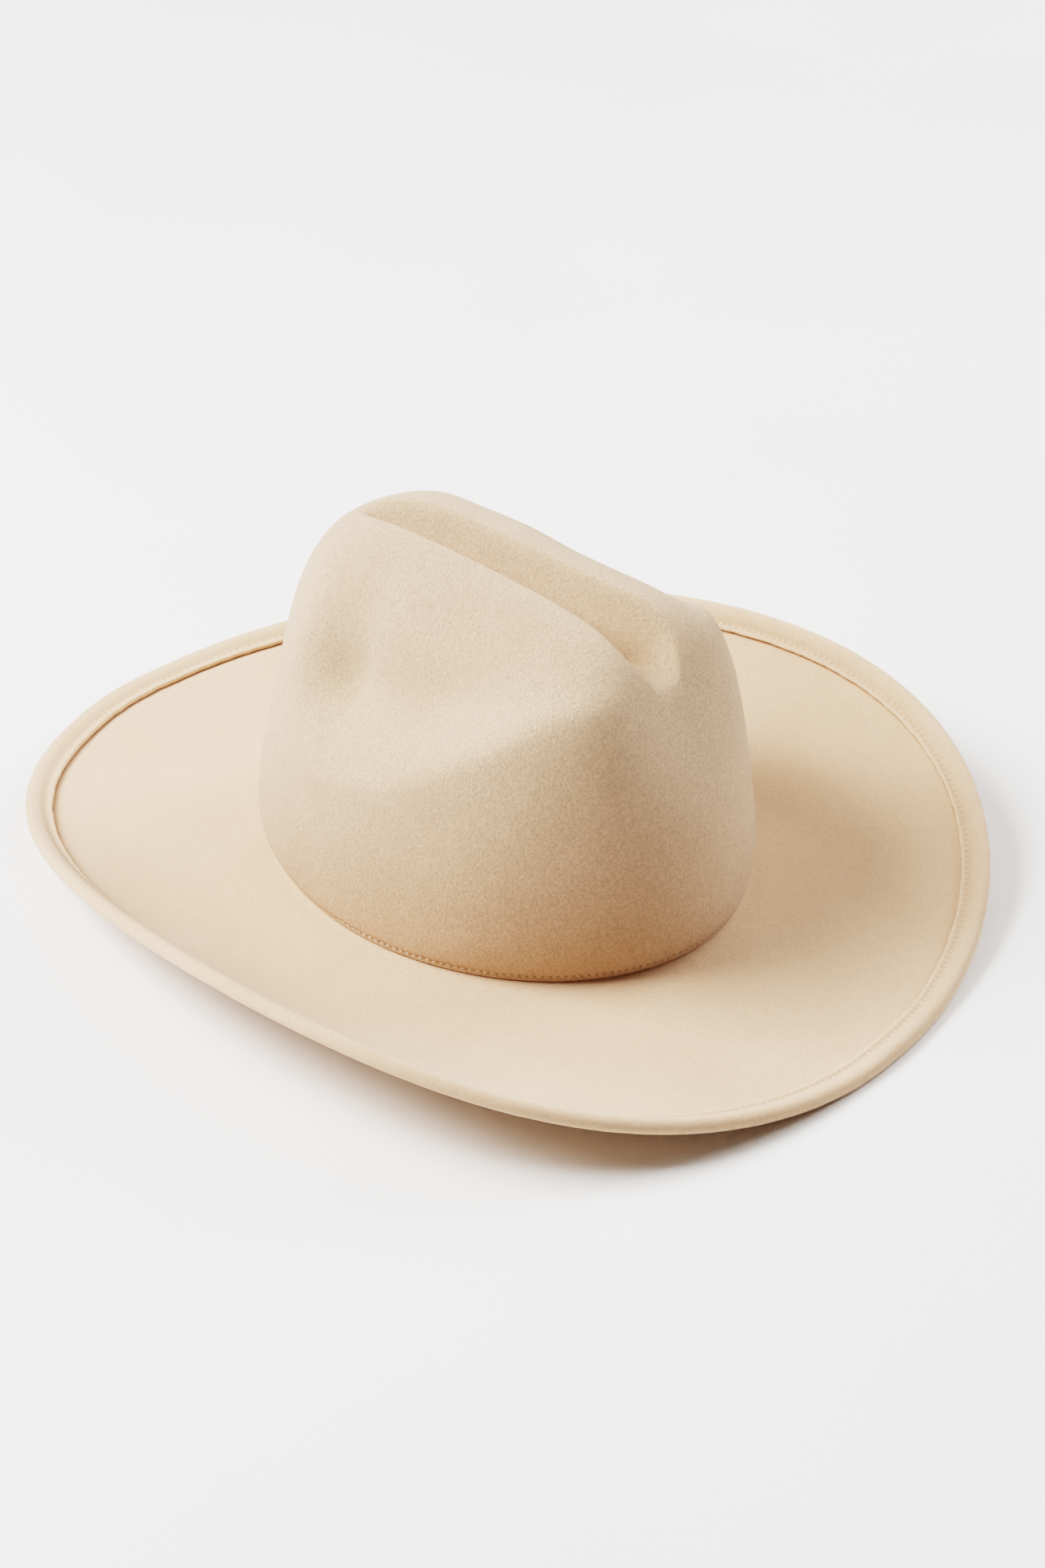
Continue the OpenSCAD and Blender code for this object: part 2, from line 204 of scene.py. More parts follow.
swell_start, swell_fade = 12, 75        # heights over which the wall's swell comes in and fades out
fall_start, fall_ease = -42.5, 12       # where the crown's top begins to fall, and how gently
corner_front, corner_back, corner_side = 5.2, 6.2, 4.2      # squareness of the top's edge
taper_front, taper_back, taper_side = 0.035, 0.045, 0.10    # share of its half-width that the wall loses
corner_taper = 0.055                    # more of the same at the two front corners
corner_swell = 1.05                     # and how much more the wall bulges low down there
crease_axis = 70                        # height of the line that the creases are laid out round
bend_start = -37.5                      # from here backwards the scoops' borders bend
dent_front, dent_back = -71, 84.5       # where the scoops' steep front wall begins, and where they run out
lip_ease = 2.4                          # softness of the trough's end
back_pinch, pinch_reach = 13, 52        # how far the back is pushed in under the lip, and how wide


def head_normal(t):
    return unit(np.stack([head_half_length * np.sin(t), -head_half_width * np.cos(t)], -1))


def head_point(t, off, z):
    """A point on the head oval, t round from the front, pushed outwards by off."""
    n = head_normal(t)
    x = head_half_width * np.sin(t) + off * n[..., 0]
    y = head_back - head_half_length * np.cos(t) + off * n[..., 1]
    return np.stack([x, y, z + 0 * x], -1)


def swell(h):
    """How much wider than the head oval the wall is, at height h above the seam."""
    return wall_swell * (1 - np.exp(-h / swell_start)) * np.exp(-(h / swell_fade) ** 2)


def top_drop(y):
    """How far the top has fallen, y behind the crown's middle."""
    return top_slope * fall_ease * np.log(1 + np.exp((y - fall_start) / fall_ease))


def open_crown(t, e):
    """The crown before it is creased: t goes round from the front, e climbs from 0 to a right angle."""
    side = np.sin(t) ** 2
    ahead = np.cos(t) > 0
    turn = np.where(ahead, np.sin(2 * t) ** 2, 0)
    corner = mix(np.where(ahead, corner_front, corner_back), corner_side, side)
    taper = mix(np.where(ahead, taper_front, taper_back), taper_side, side) + corner_taper * turn
    k = (np.abs(np.cos(e)) ** corner + np.sin(e) ** corner) ** (1 / corner)
    out = np.cos(e) / k
    up = np.sin(e) / k
    s = swell(up * (crown_top - break_height)) * (1 + corner_swell * turn)
    y = -(head_half_length * (1 - taper * up) + s) * out * np.cos(t)
    x = (head_half_width * (1 - taper * up) + s) * out * np.sin(t)
    return np.stack([x, head_back + y, mix(break_height, crown_top, up) - top_drop(y) * up], -1)


def soft_over(v):
    """About v where it is positive and 0 where it isn't, with a rounded corner between."""
    return lip_ease * np.logaddexp(0, v / lip_ease)


def crease(p):
    """Presses the trough into the top and a scoop into each side.

    Both are laid out by the distance y behind the crown's middle and by the angle round a line
    through the crown, from 0 straight out at the side to 90 straight up.
    """
    x, z = p[..., 0], p[..., 2]
    y = p[..., 1] - head_back
    back = np.maximum(0, y - bend_start)
    angle = np.degrees(np.arctan2(z - crease_axis, np.abs(x)))
    # the scoop lies between its lower border and the ridge, which meet at the back
    low = 6 + 0.0040 * back * back
    ridge = 82 - 4.2e-6 * back ** 3
    span = ridge - low
    along = smooth((y - dent_front) / 38) * (1 - smooth((y + 2.5) / (dent_back + 2.5)))
    across = smooth((angle - low) / span / 0.45) * smooth((ridge - angle) / span / 0.55)
    dent = dent_depth * along * across
    # the trough lies between the two ridges, with a flatter floor towards the back
    depth = crease_depth * smooth((y + 92.5) / 55) * (1 - 0.22 * smooth((y - 52.5) / 35))
    flat = 1 - 0.27 * smooth((y - 35) / 45)
    cut = depth * smooth((angle - ridge) / (90 - ridge) / flat) * smooth((z - 95) / 25)
    below = crown_top - top_drop(y) - z
    trough = soft_over(cut - below) - soft_over(-below)
    # the top of the back wall is pushed in under the trough's lip
    middle = 1 - smooth(np.abs(x) / pinch_reach)
    pinch = back_pinch * smooth((y - 45) / 45) * middle * smooth((z - 65) / 65)
    a = np.radians(angle)
    inwards = np.sign(x) * dent * np.cos(a)
    return np.stack([x - inwards, p[..., 1] - pinch, z - dent * np.sin(a) - trough], -1)


def crown_point(t, e):
    return crease(open_crown(t, e))


def crown_normal(t, e, dt=0.009, de=0.007):
    """Outward direction of the crown, from its slope round and up."""
    low, high = np.maximum(0, e - de), np.minimum(math.pi / 2 - 0.002, e + de)
    round_it = crown_point(t + dt, e) - crown_point(t - dt, e)
    return unit(np.cross(round_it, crown_point(t, high) - crown_point(t, low)))


# ---- shape of the brim: the same rules as part.scad ---------------------------------------------

channel = bead_radius - felt            # radius of the space round the wire
edge_rest = bead_radius - 0.2           # height of the wire where the edge lies on the table
flat_half = 0.15                        # sine of the angle over which the ends lie flat
outline_width = 7.6, 2.35               # how the edge's outline departs from an oval, across
outline_length = 4.55                   # and lengthwise
curl_power = 3.2                        # how late the brim curls up on its way to the edge
slope_step = 0.01                       # share of the brim's width over which its slope is taken


def edge_lift(t):
    """0 where the edge lies flat, at the front and the back, to 1 at the sides."""
    return np.maximum(0, (np.sin(t) ** 2 - flat_half ** 2) / (1 - flat_half ** 2))


def edge_point(t):
    """The wire's line round the rolled edge."""
    half_width = brim_half_width + outline_width[0] * np.cos(2 * t) + outline_width[1] * np.cos(3 * t)
    half_length = brim_half_length + outline_length * np.cos(2 * t)
    x = np.sin(t) * half_width
    y = -np.cos(t) * half_length + brim_swell_back * np.sin(t) ** 2
    return np.stack([x, y, edge_rest + (side_height - edge_rest) * edge_lift(t)], -1)


def brim_z(t, f):
    """Height of the brim's reference line at the fraction f of the way from the crown to the edge."""
    start = break_height - gap + channel
    k = edge_lift(t)
    fall = (start - edge_rest) * (1 - k) * np.sin(math.pi / 2 * np.minimum(1, f))
    return start - fall + (side_height - start) * k * f ** curl_power


def brim_slope(t, f, reach):
    """The brim's climb just inwards of the fraction f; reach is its width seen from above."""
    return np.arctan2(brim_z(t, f) - brim_z(t, f - slope_step), slope_step * reach)


def brim_at(t, u, w):
    """u mm outwards from the wire along the brim, w mm above the line through the wire."""
    a = head_point(t, 0, 0)
    b = edge_point(t)
    d = b[..., :2] - a[..., :2]
    reach = np.linalg.norm(d, axis=-1)
    way = d / reach[..., None]
    end_slope = brim_slope(t, 1, reach)
    f = np.where(u > 0, 1, 1 + u * np.cos(end_slope) / reach)
    slope = np.where(u > 0, end_slope, brim_slope(t, f, reach))
    over = np.maximum(0, u)
    r = f * reach + over * np.cos(slope) - w * np.sin(slope)
    z = brim_z(t, f) + over * np.sin(slope) + w * np.cos(slope)
    return np.stack([a[..., 0] + way[..., 0] * r, a[..., 1] + way[..., 1] * r, np.maximum(0, z)], -1)


def brim_over(t, f, w):
    """The same at the fraction f of the way from the crown to the edge."""
    reach = np.linalg.norm(edge_point(t)[..., :2] - head_point(t, 0, 0)[..., :2], axis=-1)
    return brim_at(t, (f - 1) * reach / np.cos(brim_slope(t, 1, reach)), w)


# ---- materials ----------------------------------------------------------------------------------


class Nodes:
    """Shorthand for building one material's node tree."""

    def __init__(self, name):
        self.material = bpy.data.materials.new(name)
        self.material.use_nodes = True
        self.tree = self.material.node_tree
        self.shader = self.tree.nodes["Principled BSDF"]

    def feed(self, socket, value):
        """Gives a socket either a link from another node or a plain value."""
        if isinstance(value, bpy.types.NodeSocket):
            self.tree.links.new(value, socket)
        else:
            socket.default_value = value

    def add(self, kind, inputs=None, **settings):
        """A new node with its settings and inputs."""
        node = self.tree.nodes.new(kind)
        for key, value in settings.items():
            setattr(node, key, value)
        for key, value in (inputs or {}).items():
            self.feed(node.inputs[key], value)
        return node

    def place(self):
        """The point on the piece, in metres."""
        return self.add("ShaderNodeTexCoord").outputs["Object"]

    def noise(self, scale, detail, rough=0.6):
        """Noise with features of about 1/scale metres."""
        made = {"Scale": scale, "Detail": detail, "Roughness": rough, "Vector": self.place()}
        return self.add("ShaderNodeTexNoise", made).outputs["Fac"]

    def wave(self, direction, scale, distortion, **more):
        """Bands that follow each other in a direction."""
        made = {"Vector": self.place(), "Scale": scale, "Distortion": distortion, **more}
        return self.add("ShaderNodeTexWave", made, bands_direction=direction).outputs["Fac"]

    def times(self, a, b):
        return self.add("ShaderNodeMath", {0: a, 1: b}, operation="MULTIPLY").outputs[0]

    def spread(self, value, low, high, to_low=0.0, to_high=1.0):
        """Low to high laid over another range."""
        made = {"Value": value, "From Min": low, "From Max": high, "To Min": to_low, "To Max": to_high}
        return self.add("ShaderNodeMapRange", made).outputs[0]

    def blend(self, k, a, b):
        """Colour a where k is 0 and b where it is 1."""
        return self.add("ShaderNodeMix", {0: k, 6: a, 7: b}, data_type="RGBA").outputs[2]

    def bump(self, height, distance, under=None):
        """Relief of a depth in metres, on top of the relief under it."""
        made = {"Height": height, "Distance": distance, "Strength": 1.0}
        if under is not None:
            made["Normal"] = under
        return self.add("ShaderNodeBump", made).outputs["Normal"]

    def set(self, **inputs):
        """Sets the shader's inputs, with _ for a space, and returns the finished material."""
        for key, value in inputs.items():
            self.feed(self.shader.inputs[key.replace("_", " ")], value)
        return self.material


def colour(r, g, b):
    return (r, g, b, 1.0)


def darker(tint, k):
    return colour(*[v * k for v in tint[:3]])


painted_hole_shade = colour(0.33, 0.17, 0.09)      # painted shade: the dark of needle holes, the sunken seam and the felt under the fold
raw_edge = colour(0.86, 0.62, 0.42)         # the felt where it is cut


def felt_material(name, pale, deep, grain, nap, speck):
    """Pressed wool: matted fibres about a millimetre across under a soft nap, never one flat colour.

    pale and deep are its two tones, grain the depth of the matting in metres, nap the strength of
    the sheen and speck how much darker tufts show.
    """
    m = Nodes(name)
    broad = m.noise(22, 3)                  # the two tones, in patches a few centimetres wide
    mottle = m.noise(800, 4, 0.75)          # tufts
    fibre = m.noise(2600, 3, 0.7)           # fibres on the tufts
    fleck = m.spread(m.noise(1900, 2, 0.5), 0.58, 0.68)     # scattered pale fibres
    base = m.blend(m.spread(broad, 0.35, 0.65), pale, deep)
    base = m.blend(m.spread(mottle, 0.60, 0.40, 0.0, speck), base, darker(deep, 0.70))
    base = m.blend(m.times(fleck, 0.20), base, colour(0.96, 0.86, 0.74))
    # painted shade in needle holes, along the sunken seams and under the fold; below zero, the paler cut
    # edge of the felt
    painted_shade_and_raw_edge = m.add("ShaderNodeAttribute", attribute_name="painted_shade_and_raw_edge").outputs["Fac"]
    base = m.blend(m.spread(painted_shade_and_raw_edge, 0, 1, 0.0, 0.75), base, painted_hole_shade)
    base = m.blend(m.spread(painted_shade_and_raw_edge, 0, -1, 0.0, 0.55), base, raw_edge)
    soft = m.bump(m.noise(150, 3, 0.55), 0.00032)
    rough = m.bump(mottle, grain, soft)
    return m.set(
        Base_Color=base, Roughness=m.spread(mottle, 0.3, 0.7, 0.88, 1.0), Specular_IOR_Level=0.12,
        Sheen_Weight=nap, Sheen_Roughness=0.45, Sheen_Tint=colour(1.0, 0.96, 0.90),
        Normal=m.bump(fibre, grain * 0.40, rough))


def thread_material(name, tint):
    """Cotton sewing thread: two plies twisted along each stitch."""
    m = Nodes(name)
    twist = m.wave("DIAGONAL", 900.0, 1.5, Detail=1.0)
    wear = m.noise(300, 2)
    base = m.blend(m.spread(wear, 0.3, 0.7, 0.0, 0.5), tint, darker(tint, 0.82))
    return m.set(Base_Color=base, Roughness=0.62, Specular_IOR_Level=0.3, Sheen_Weight=0.25,
                 Normal=m.bump(twist, 0.00006))


def ribbon_material(name, tint, along):
    """Ribbed ribbon: along is the direction, X, Y or Z, in which one rib follows another."""
    m = Nodes(name)
    ribs = m.wave(along, 1400.0 / 6.0, 0.3, Detail=1.0)     # a rib every 1.35 mm
    slub = m.noise(420, 3)
    # painted shade in the grooves between the ribs, where their relief is low
    base = m.blend(m.spread(ribs, 0.1, 0.9, 0.25, 0.0), tint, darker(tint, 0.72))
    base = m.blend(m.spread(slub, 0.35, 0.7, 0.0, 0.25), base, darker(tint, 0.85))
    return m.set(Base_Color=base, Roughness=m.spread(ribs, 0, 1, 0.62, 0.45), Specular_IOR_Level=0.35,
                 Sheen_Weight=0.15, Normal=m.bump(slub, 0.00005, m.bump(ribs, 0.00012)))


def label_material(name, tint, soiled):
    """Woven satin label, a little soiled."""
    m = Nodes(name)
    weave = m.wave("Z", 260.0, 0.2)
    soil = m.noise(160, 3)
    base = m.blend(m.spread(soil, 0.4, 0.75, 0.0, 0.5), tint, soiled)
    return m.set(Base_Color=base, Roughness=0.42, Specular_IOR_Level=0.45,
                 Normal=m.bump(weave, 0.00004))


def metal_material(name, tint, rough):
    """Drawn metal with a little tarnish."""
    m = Nodes(name)
    drawn = m.noise(900, 2)
    tarnish = m.noise(140, 3)
    base = m.blend(m.spread(tarnish, 0.35, 0.7, 0.0, 0.5), tint, darker(tint, 0.6))
    return m.set(Base_Color=base, Metallic=1.0, Roughness=m.spread(drawn, 0.3, 0.7, rough, rough + 0.15),
                 Normal=m.bump(drawn, 0.00002))


def plastic_material(name, tint):
    """Smooth plastic, slightly hazy."""
    m = Nodes(name)
    haze = m.noise(260, 3)
    base = m.blend(m.spread(haze, 0.35, 0.7, 0.0, 0.4), tint, darker(tint, 0.85))
    return m.set(Base_Color=base, Roughness=m.spread(haze, 0.3, 0.7, 0.3, 0.45),
                 Normal=m.bump(haze, 0.00002))


# the crown's felt is given a paler colour than the brim's, though both are one felt: painted light on the
# crown
crown_felt_painted_paler = felt_material("crown_felt_painted_paler", colour(0.855, 0.592, 0.402), colour(0.812, 0.546, 0.362),
                           grain=0.00100, nap=0.40, speck=0.70)
brim_felt = felt_material("brim_felt", colour(0.682, 0.463, 0.313), colour(0.652, 0.432, 0.286),
                          grain=0.00022, nap=0.35, speck=0.30)
cream_thread = thread_material("cream_thread", colour(0.82, 0.68, 0.52))
felt_thread = thread_material("felt_thread", colour(0.76, 0.56, 0.41))
tan_ribbon = ribbon_material("tan_ribbon", colour(0.66, 0.50, 0.34), "Z")
tape_ribbon = ribbon_material("tape_ribbon", colour(0.58, 0.44, 0.30), "Z")
bow_ribbon = ribbon_material("bow_ribbon", colour(0.66, 0.50, 0.34), "X")
white_label = label_material("white_label", colour(0.86, 0.85, 0.82), colour(0.72, 0.69, 0.62))
ivory_label = label_material("ivory_label", colour(0.82, 0.79, 0.70), colour(0.68, 0.62, 0.50))
steel = metal_material("steel", colour(0.62, 0.62, 0.60), 0.30)
plated = metal_material("plated", colour(0.72, 0.72, 0.70), 0.22)
clear_reed = plastic_material("clear_reed", colour(0.80, 0.80, 0.76))

# ---- seams --------------------------------------------------------------------------------------

crown_stitch_count = 195
edge_stitch_count = 383
band_stitch_count = 138
fold_seam = 6.0                         # distance of the edge's seam from the wire
seam_h = seam_z - break_height
seam_sink = 0.40                        # how far the crown's thread is sunk into the felt
edge_thread_lift = 0.16                 # how far the edge's thread lies above the folded felt


def crown_seam(t):
    """The line of the stitches round the crown's foot."""
    return head_point(t, swell(seam_h) - seam_sink, seam_z)


def outwards(t):
    n = head_normal(t)
    return np.stack([n[:, 0], n[:, 1], 0 * t], -1)


def inwards(t):
    return -outwards(t)


def edge_seam(t):
    """The line of the stitches that hold the rolled edge."""
    return brim_at(t, -fold_seam, felt - channel + edge_thread_lift)


def edge_up(t):
    """Upwards from the brim at that line."""
    return unit(brim_at(t, -fold_seam, 1.0) - brim_at(t, -fold_seam, 0.0))


def near(distance, width):
    """1 on a seam, falling off over a width to each side."""
    return np.exp(-(distance / width) ** 2)


# ---- crown --------------------------------------------------------------------------------------


def crown_shell():
    """The crown's felt: outside skin, cut lower edge and inside skin, closed.

    The outside is slightly wavy, sinks in along the seam and puckers between the needle holes.
    """
    around = crown_stitch_count * 4                         # four columns of points to a stitch
    t = even_angles(crown_seam, around)
    hole = np.cos(np.arange(around) * 2 * math.pi / 4)      # 1 where the needle went in
    step = math.atan(1 / (crown_top - break_height))        # roughly a millimetre's climb near the edge
    top = math.pi / 2 - 0.004                               # the last ring lies just short of the peak
    low = np.arange(0, 9.1, 0.6) * step                     # fine steps past the seam
    outer_e = rows(low, np.linspace(low[-1] + 2 * step, top, 96))
    inner_e = rows(low[::3], np.linspace(low[-1] + 4 * step, top, 44))
    rings, painted_shade_and_raw_edge = [], []
    for e in outer_e:
        p = crown_point(t, e)
        h = p[:, 2] - break_height
        pull = seam_sink * near(h - seam_h, 1.1)
        pucker = 0.14 * near(h - seam_h, 2.0) * hole
        wave = 0.20 * waviness(*p.T, 60, 3) + 0.05 * waviness(*p.T, 17, 4)
        rings.append(p + crown_normal(t, e) * (wave * smooth(h / 18) - pull - pucker)[:, None])
        # painted shade in the needle holes and along the seam's sunken groove
        painted_shade_and_raw_edge.append(near(h - seam_h, 0.55) * np.maximum(0, hole) + 0.25 * near(h - seam_h, 1.0))
    # the cut edge is slightly rounded
    rings[0] = head_point(t, -0.35, break_height)
    rings.insert(1, head_point(t, -0.02, break_height + 0.35))
    painted_shade_and_raw_edge.insert(1, painted_shade_and_raw_edge[0])
    inner = [head_point(t, -felt / 2, break_height - 0.02), head_point(t, -felt + 0.3, break_height)]
    inner += [crown_point(t, e) - crown_normal(t, e) * felt for e in inner_e[1:]]
    rings = rings[::-1] + inner
    peak = crown_point(0.0, math.pi / 2)[None]
    points = np.concatenate(rings + [peak, peak - [0, 0, felt]])
    painted_shade_and_raw_edge = np.concatenate(painted_shade_and_raw_edge[::-1] + [0 * t] * len(inner) + [[0, 0]])
    faces = []
    for i in range(len(rings) - 1):
        faces += ring_faces(i, i + 1, around)
    tip = len(rings) * around
    last = tip - around
    for k in range(around):
        j = (k + 1) % around
        faces.append([tip, j, k])
        faces.append([tip + 1, last + k, last + j])
    return new_mesh("felt_crown", points, faces, crown_felt_painted_paler, painted_shade_and_raw_edge=painted_shade_and_raw_edge)


# ---- brim ---------------------------------------------------------------------------------------

collar_height = 15
edge_reach = 190                        # about the edge's distance from the middle, for its waviness

# The top of the fold, from the bead down into the stitched groove and up to the raw edge: distance
# outwards from the wire, and height above the wire on the bead or above flat folded felt on the brim.
fold_on_bead = [(-1.4, bead_radius - 0.12), (-2.6, bead_radius - 0.50), (-3.7, bead_radius - 1.05)]
fold_on_brim = [(-4.7, 0.55), (-5.4, 0.28), (-fold_seam, 0.12), (-6.6, 0.30), (-7.2, 0.50), (-7.8, 0.55),
                (-8.3, 0.42), (-8.75, 0.12)]


def collar_off(h):
    """The collar follows the inside of the crown's wall."""
    return swell(h) - felt - gap


def edge_waves(t, size, seed, shift=0):
    """Waviness along the rolled edge."""
    return waviness(np.cos(t) * edge_reach, np.sin(t) * edge_reach, 0 * t + shift, size, seed)


def brim_shell():
    """The brim's felt: collar inside the crown, sheet, roll round the wire, and the folded raw edge."""
    around = edge_stitch_count * 3                          # three columns of points to a stitch
    t = even_angles(edge_seam, around)
    top, under = -channel, -bead_radius
    z0 = break_height - gap
    hole = np.cos(np.arange(around) * 2 * math.pi / 3)      # 1 where the needle went in
    ragged = 0.16 * edge_waves(t, 9, 11) + 0.10 * edge_waves(t, 3.5, 12)
    rings, painted_shade_and_raw_edge = [], {}
    # collar, up the outside and down the inside, and the small slope under it
    for h in np.linspace(0, collar_height, 7):
        rings.append(head_point(t, collar_off(h), z0 + h))
    rings.append(head_point(t, collar_off(collar_height) - felt / 2, z0 + collar_height + 0.25))
    for h in np.linspace(collar_height, 1, 6):
        rings.append(head_point(t, collar_off(h) - felt, z0 + h))
    rings.append(head_point(t, collar_off(0) - felt + 0.35, z0 - 0.5))
    rings.append(head_point(t, collar_off(0) - felt + 0.9, z0 - 1.3))
    # underside of the sheet and outside of the roll
    sheet, lifts = np.linspace(0.05, 0.86, 22), []
    for f in sheet:
        p = brim_over(t, f, 0.0)
        fade = smooth(f / 0.25) * smooth((1 - f) / 0.2)
        lifts.append((0.35 * waviness(*p.T, 70, 5) + 0.06 * waviness(*p.T, 18, 6)) * fade)
        rings.append(brim_over(t, f, under + lifts[-1]))
    for u in (-9, -6.5, -4, -2):
        rings.append(brim_at(t, u, under))
    for g in np.radians(np.arange(-90, 91, 15)):
        r = bead_radius + 0.05 * edge_waves(t, 12, 7, shift=g * 3)
        rings.append(brim_at(t, r * math.cos(g), r * math.sin(g)))
    # the fold: puckered at the needle holes, which get painted shade, and ragged at its raw edge, which is
    # bleached
    base = felt - channel
    for u, w in fold_on_bead + [(u, base + w) for u, w in fold_on_brim]:
        seam = near(u + fold_seam, 1.3)
        rim = smooth((-u - 7.0) / 1.4)
        rings.append(brim_at(t, u - ragged * rim, w - seam * 0.06 * hole + 0.05 * ragged * rim))
        painted_shade_and_raw_edge[len(rings) - 1] = seam * (0.12 + 0.38 * np.maximum(0, hole)) - 0.55 * rim
    # the raw edge's bleached cut face, then a painted shadow line just under it
    for u, w, shade in ((-8.80, (base + top) / 2 + 0.25, -1.0), (-8.55, top + 0.16, 1.1)):
        rings.append(brim_at(t, u - ragged, w))
        painted_shade_and_raw_edge[len(rings) - 1] = 0 * t + shade
    # under the fold, round the channel for the wire and back along the sheet's top
    for u in (-6.0, -3.0):
        rings.append(brim_at(t, u, top + 0.12))
    for g in np.radians((120, 80, 40, 0, -40, -80)):
        rings.append(brim_at(t, channel * math.cos(g), channel * math.sin(g)))
    # painted shade on the sheet's top under the fold, fading out just past the raw edge
    for u, shade in ((-2.5, 1.0), (-6.0, 1.0), (-8.9, 0.9), (-9.2, 0.25), (-10.0, 0.0)):
        rings.append(brim_at(t, u, top))
        painted_shade_and_raw_edge[len(rings) - 1] = 0 * t + shade
    for f, lift in zip(sheet[::-1], lifts[::-1]):
        rings.append(brim_over(t, f, top + lift))
    shades = np.stack([painted_shade_and_raw_edge.get(i, 0 * t) for i in range(len(rings))], 1)
    return swept_loop("felt_brim", np.stack(rings, 1), brim_felt, painted_shade_and_raw_edge=shades)


on_body(crown_shell(), "felt", "crown")
on_body(brim_shell(), "felt", "brim")

# ---- places inside ------------------------------------------------------------------------------

tape_t = 0.3                            # thickness of the reed's tape
lean = 1.2                              # how far the sweatband's top leans inwards
upright = 12                            # how much of its height stands upright
tab_middle = collar_off(0) - felt - gap / 2 - tape_t / 2
band_back = tab_middle - tape_t / 2 - gap / 2
band_face = band_back - sweatband_t


def band_seam(t):
    """The line of the stitches on the sweatband's inner face."""
    return head_point(t, band_face - 0.02, seam_z)


def band_off(z):
    """Offset of the sweatband's back face at height z."""
    return band_back - lean * smooth((z - band_bottom - upright) / (band_top - band_bottom - upright))


# ---- stitches -----------------------------------------------------------------------------------


def stitch_mesh(name, line, count, up, seed, thread=cream_thread, fill=0.76, rise=0.30, extra=()):
    """A row of sewn stitches: each one bows up between two holes; up(t) points away from the felt.

    fill is the share of the pitch that a stitch covers and rise the height of its bow; extra holds
    more stitches as start, end and sideways shift.
    """
    sunk, uneven = 0.30, 0.015          # depth of a stitch's ends in the felt, scatter of its ends
    rng = np.random.default_rng(seed)
    slots = np.append(even_angles(line, count), 2 * math.pi)
    runs = [(slots[k], slots[k + 1], 0.0) for k in range(count)] + list(extra)
    girth = np.array([0.55, 0.92, 1.0, 1.0, 1.0, 1.0, 0.92, 0.55])      # along one stitch
    levels, sides = len(girth), 6
    bow = np.linspace(0, 1, levels)
    height = np.sin(math.pi * bow) ** 0.55
    spokes = turn_angles(sides)[None, :, None]
    points, faces = [], []
    for t0, t1, off in runs:
        tilt = rng.normal(0, 0.10)
        a = mix(t0, t1, (1 - fill) / 2 + rng.normal(0, uneven))
        b = mix(t0, t1, (1 + fill) / 2 + rng.normal(0, uneven))
        q = line(mix(a, b, bow))
        n = up(mix(a, b, bow))
        along = np.broadcast_to(unit(q[-1] - q[0]), n.shape)
        side = unit(np.cross(along, n))
        n = unit(np.cross(side, along))
        sideways = tilt * (bow - 0.5) + off
        centre = q + n * (rise * height - sunk)[:, None] + side * sideways[:, None]
        r = thread_d / 2 * girth * (1 + rng.normal(0, 0.04))
        around = np.cos(spokes) * side[:, None] + np.sin(spokes) * n[:, None]
        first = len(points) * levels * sides
        points.append((centre[:, None] + around * r[:, None, None]).reshape(-1, 3))
        for i in range(levels - 1):
            faces += ring_faces(i, i + 1, sides, first)
        faces.append([first + k for k in range(sides - 1, -1, -1)])
        faces.append([first + (levels - 1) * sides + k for k in range(sides)])
    return new_mesh(name, np.concatenate(points), faces, thread)


# three stitches sewn over the crown's row at the back, where its thread starts and ends
tack_start, tack_step, tack_off = math.pi - 0.010, 0.036, 0.62
back_tack = [(tack_start - tack_step * k, tack_start - tack_step * (k + 1), tack_off) for k in range(3)]

crown_row = stitch_mesh("crown_stitches", crown_seam, crown_stitch_count, outwards, seed=21,
                        fill=0.64, rise=0.24, extra=back_tack)
edge_row = stitch_mesh("edge_stitches", edge_seam, edge_stitch_count, edge_up, seed=22,
                       thread=felt_thread, fill=0.66, rise=0.09)
band_row = stitch_mesh("band_stitches", band_seam, band_stitch_count, inwards, seed=23)
on_body(crown_row, "thread", "crown_stitching")
on_body(edge_row, "thread", "brim_stitching")
on_body(band_row, "thread", "sweatband_stitching")

# ---- sweatband, reed tape and labels ------------------------------------------------------------


def sweat_ribbon():
    """The sweatband, with a slightly rippled top edge."""
    t = turn_angles(480)
    lip = 0.35                          # the top edge is rounded over this height
    heights = np.linspace(band_bottom, band_top - lip, 13)
    ripple = 0.10 * waviness(np.cos(t) * 85, np.sin(t) * 100, 0 * t, 26, 31)
    ripple_from, ripple_over = 30, 12   # the height at which the ripple sets in

    def face(depth):
        fade = smooth((heights - ripple_from) / ripple_over)
        return [head_point(t, band_off(z) - depth + ripple * k, z) for z, k in zip(heights, fade)]

    rings = face(0)
    for share in (0.25, 0.75):
        rings.append(head_point(t, band_off(band_top) - sweatband_t * share + ripple, band_top))
    rings += face(sweatband_t)[::-1]
    return swept_loop("sweat_ribbon", np.stack(rings, 1), tan_ribbon)


def tape_ring():
    """The reed's tape: a tab sewn between band and collar, and a loop round the reed."""
    t = turn_angles(360)
    tab_top = cad_place("reed_tape")[1][2]
    loop_off, loop_z = band_back - 0.5, cad_place("reed")[:, 2].sum() / 2
    loop_inside = 1.0
    tab = np.linspace(band_bottom, tab_top, 5)
    rings = [head_point(t, tab_middle + tape_t / 2, z) for z in tab]
    rings += [head_point(t, tab_middle - tape_t / 2, z) for z in tab[::-1]]
    # round the reed on the loop's inside, and back again on its outside
    for r, start, end in ((loop_inside, 30, -285), (loop_inside + tape_t, -285, 30)):
        for g in np.radians(np.linspace(start, end, 16)):
            rings.append(head_point(t, loop_off + r * math.cos(g), loop_z + r * math.sin(g)))
    return swept_loop("tape_ring", np.stack(rings, 1), tape_ribbon)


